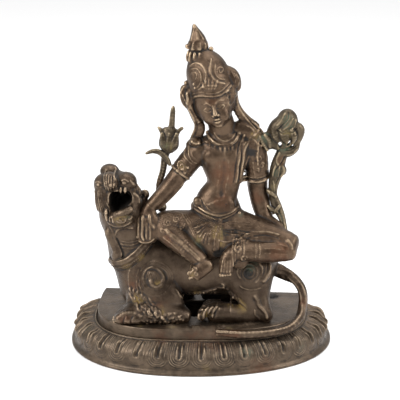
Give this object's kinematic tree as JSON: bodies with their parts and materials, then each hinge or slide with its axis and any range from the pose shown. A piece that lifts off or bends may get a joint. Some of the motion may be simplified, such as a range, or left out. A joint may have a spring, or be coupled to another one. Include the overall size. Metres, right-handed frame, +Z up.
{
  "type": "cast figure seated on a lion",
  "caption": "Cast copper-alloy figure with a tall crown, seated on a crouching lion with an open mouth, between two flower sprays, on a hollow lotus base.",
  "frame": {"origin": "under the middle of the base's outer box, on the surface it stands on", "axes": "+Z up, +X towards the viewer's right as one faces the figure, -Y towards the viewer"},
  "size_m": [0.237, 0.117, 0.2935],
  "materials": {
    "base_bronze": "dark brown patina with grey-green dirt in the recesses and rubbed lighter edges",
    "lion_bronze": "dark brown patina with ochre dirt in the recesses and rubbed lighter edges",
    "figure_bronze": "brown patina worn to reddish copper on the smooth raised parts",
    "spray_bronze": "dark brown patina with a trace of green",
    "green_bronze": "dark brown patina with green verdigris in the hollows"
  },
  "bodies": {
    "root": {"lotus_base": "base_bronze", "lion": "lion_bronze", "figure": "figure_bronze", "sword_lotus": "spray_bronze", "lotus_spray": "green_bronze"}
  },
  "joints": []
}
